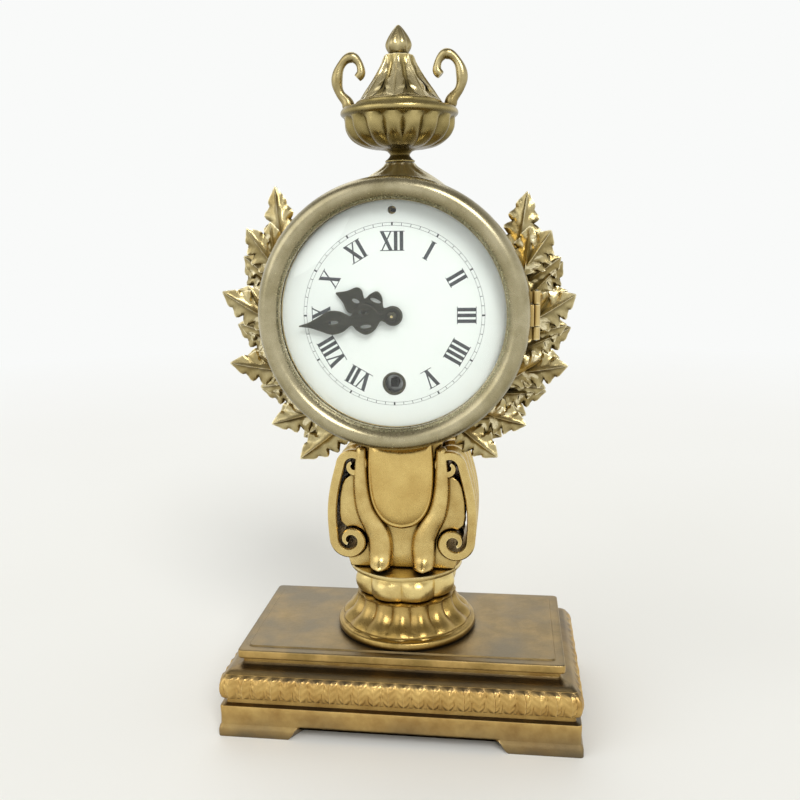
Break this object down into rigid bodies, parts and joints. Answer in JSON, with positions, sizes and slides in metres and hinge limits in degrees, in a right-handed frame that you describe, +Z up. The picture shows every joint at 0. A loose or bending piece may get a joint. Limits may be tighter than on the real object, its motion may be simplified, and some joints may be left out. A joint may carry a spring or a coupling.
{
  "type": "desk clock",
  "caption": "Gilt brass mantel timepiece: drum case with enamel dial and hands on a scrolled pedestal, leaf branches, urn finial, hinged doors and a geared movement.",
  "frame": {"origin": "middle of the base's underside, on the surface that it stands on", "axes": "+Z up, +X to the right and -Y towards the viewer of the dial"},
  "size_m": [0.132, 0.073, 0.2501],
  "materials": {
    "aged_gilt_brass": "gilding worn and darkened",
    "bright_steel": "polished",
    "bronzed_steel": "dark bronzed",
    "clear_glass": "clear",
    "gilt_brass": "fire-gilt, burnished and matted",
    "lacquered_brass": "grained and lacquered",
    "white_enamel": "white fired enamel, glossy"
  },
  "bodies": {
    "clock_frame": {"back_plate": "lacquered_brass", "balance_cock": "lacquered_brass", "base_casting": "aged_gilt_brass", "base_slab": "aged_gilt_brass", "bezel_hinge_leaf": "lacquered_brass", "bezel_hinge_pin": "bright_steel", "branch_left": "gilt_brass", "branch_right": "gilt_brass", "click_spring": "bright_steel", "console_body": "gilt_brass", "dial": "white_enamel", "dial_pan": "lacquered_brass", "drum_case": "gilt_brass", "drum_crest": "aged_gilt_brass", "finial_rod": "bright_steel", "foot_socle": "gilt_brass", "front_plate": "lacquered_brass", "hairspring": "bright_steel", "pillar_left": "lacquered_brass", "pillar_lower": "lacquered_brass", "pillar_upper": "lacquered_brass", "rear_hinge_leaf": "lacquered_brass", "rear_hinge_pin": "bright_steel", "saddle": "gilt_brass", "scroll_left": "gilt_brass", "scroll_right": "gilt_brass", "shield_panel": "gilt_brass", "stem": "gilt_brass", "tie_rod": "bright_steel", "tie_rod_nut": "bright_steel", "urn_bowl": "gilt_brass", "urn_bud": "gilt_brass", "urn_handle_left": "gilt_brass", "urn_handle_right": "gilt_brass", "urn_lid": "gilt_brass"},
    "bezel": {"front_bezel": "gilt_brass", "glass": "clear_glass", "glass_ring": "lacquered_brass"},
    "rear_door": {"rear_cover": "gilt_brass"},
    "minute_hand": {"minute_hand": "bronzed_steel", "cannon_pinion": "bright_steel", "hand_collet": "lacquered_brass"},
    "hour_hand": {"hour_hand": "bronzed_steel", "hour_wheel": "lacquered_brass"},
    "minute_wheel": {"minute_wheel": "lacquered_brass"},
    "fourth_wheel": {"fourth_wheel": "lacquered_brass"},
    "third_wheel": {"third_wheel": "lacquered_brass"},
    "centre_wheel": {"centre_wheel": "lacquered_brass"},
    "intermediate_wheel": {"intermediate_wheel": "lacquered_brass"},
    "barrel": {"barrel": "lacquered_brass", "barrel_cover": "lacquered_brass", "mainspring": "bright_steel"},
    "escape_wheel": {"escape_wheel": "lacquered_brass"},
    "winding_arbor": {"winding_arbor": "bright_steel", "ratchet_wheel": "bright_steel"},
    "click": {"click": "bright_steel"},
    "lever": {"lever": "bright_steel"},
    "balance": {"balance_wheel": "lacquered_brass"},
    "regulator_arbor": {"regulator_arbor": "bright_steel"},
    "regulator_index": {"regulator_index": "bright_steel"}
  },
  "joints": [
    {"name": "bezel_hinge", "type": "hinge", "parent": "clock_frame", "child": "bezel", "pos_m": [0.04725, -0.0267, 0.1535], "axis": [0, 0, 1], "range_deg": [0, 110]},
    {"name": "rear_cover_hinge", "type": "hinge", "parent": "clock_frame", "child": "rear_door", "pos_m": [0.04725, 0.0197, 0.1535], "axis": [0, 0, -1], "range_deg": [0, 105]},
    {"name": "minute_hand_turn", "type": "hinge", "parent": "clock_frame", "child": "minute_hand", "pos_m": [0, 0, 0.1535], "axis": [0, 1, 0], "continuous": true},
    {"name": "hour_hand_turn", "type": "hinge", "parent": "clock_frame", "child": "hour_hand", "pos_m": [0, 0, 0.1535], "axis": [0, 1, 0], "continuous": true},
    {"name": "minute_wheel_turn", "type": "hinge", "parent": "clock_frame", "child": "minute_wheel", "pos_m": [0.00424, 0, 0.14926], "axis": [0, 1, 0], "continuous": true},
    {"name": "fourth_wheel_turn", "type": "hinge", "parent": "clock_frame", "child": "fourth_wheel", "pos_m": [-0.00292, 0, 0.17035], "axis": [0, 1, 0], "continuous": true},
    {"name": "third_wheel_turn", "type": "hinge", "parent": "clock_frame", "child": "third_wheel", "pos_m": [-0.00802, 0, 0.16152], "axis": [0, 1, 0], "continuous": true},
    {"name": "centre_wheel_turn", "type": "hinge", "parent": "clock_frame", "child": "centre_wheel", "pos_m": [0, 0, 0.1535], "axis": [0, 1, 0], "continuous": true},
    {"name": "intermediate_wheel_turn", "type": "hinge", "parent": "clock_frame", "child": "intermediate_wheel", "pos_m": [0.00656, 0, 0.14442], "axis": [0, 1, 0], "continuous": true},
    {"name": "barrel_turn", "type": "hinge", "parent": "clock_frame", "child": "barrel", "pos_m": [0, 0, 0.13049], "axis": [0, 1, 0], "continuous": true},
    {"name": "escape_wheel_turn", "type": "hinge", "parent": "clock_frame", "child": "escape_wheel", "pos_m": [0.00683, 0, 0.17207], "axis": [0, 1, 0], "continuous": true},
    {"name": "winding_turn", "type": "hinge", "parent": "clock_frame", "child": "winding_arbor", "pos_m": [0, 0, 0.13049], "axis": [0, 1, 0], "continuous": true},
    {"name": "click_lift", "type": "hinge", "parent": "clock_frame", "child": "click", "pos_m": [0.0088, 0, 0.13669], "axis": [0, -1, 0], "range_deg": [0, 12], "stiffness_Nm_per_rad": 0.0002},
    {"name": "lever_rock", "type": "hinge", "parent": "clock_frame", "child": "lever", "pos_m": [0.00057, 0, 0.1752], "axis": [0, 1, 0], "range_deg": [-5, 5]},
    {"name": "balance_swing", "type": "hinge", "parent": "clock_frame", "child": "balance", "pos_m": [-0.00399, 0, 0.17748], "axis": [0, 1, 0], "range_deg": [-200, 200], "stiffness_Nm_per_rad": 0.00001},
    {"name": "regulator_turn", "type": "hinge", "parent": "clock_frame", "child": "regulator_arbor", "pos_m": [0, 0, 0.188], "axis": [0, 1, 0], "range_deg": [-60, 60]},
    {"name": "index_turn", "type": "hinge", "parent": "clock_frame", "child": "regulator_index", "pos_m": [-0.00399, 0, 0.17748], "axis": [0, 1, 0], "range_deg": [-13, 13]}
  ],
  "couplings": [
    {"joint": "hour_hand_turn", "follows": "minute_hand_turn", "ratio": 0.083333},
    {"joint": "minute_wheel_turn", "follows": "minute_hand_turn", "ratio": -0.33333},
    {"joint": "third_wheel_turn", "follows": "fourth_wheel_turn", "ratio": -0.13333},
    {"joint": "centre_wheel_turn", "follows": "fourth_wheel_turn", "ratio": 0.016667},
    {"joint": "intermediate_wheel_turn", "follows": "fourth_wheel_turn", "ratio": -0.0027778},
    {"joint": "barrel_turn", "follows": "fourth_wheel_turn", "ratio": 0.00046296},
    {"joint": "escape_wheel_turn", "follows": "fourth_wheel_turn", "ratio": -10},
    {"joint": "index_turn", "follows": "regulator_turn", "ratio": -0.21622}
  ]
}
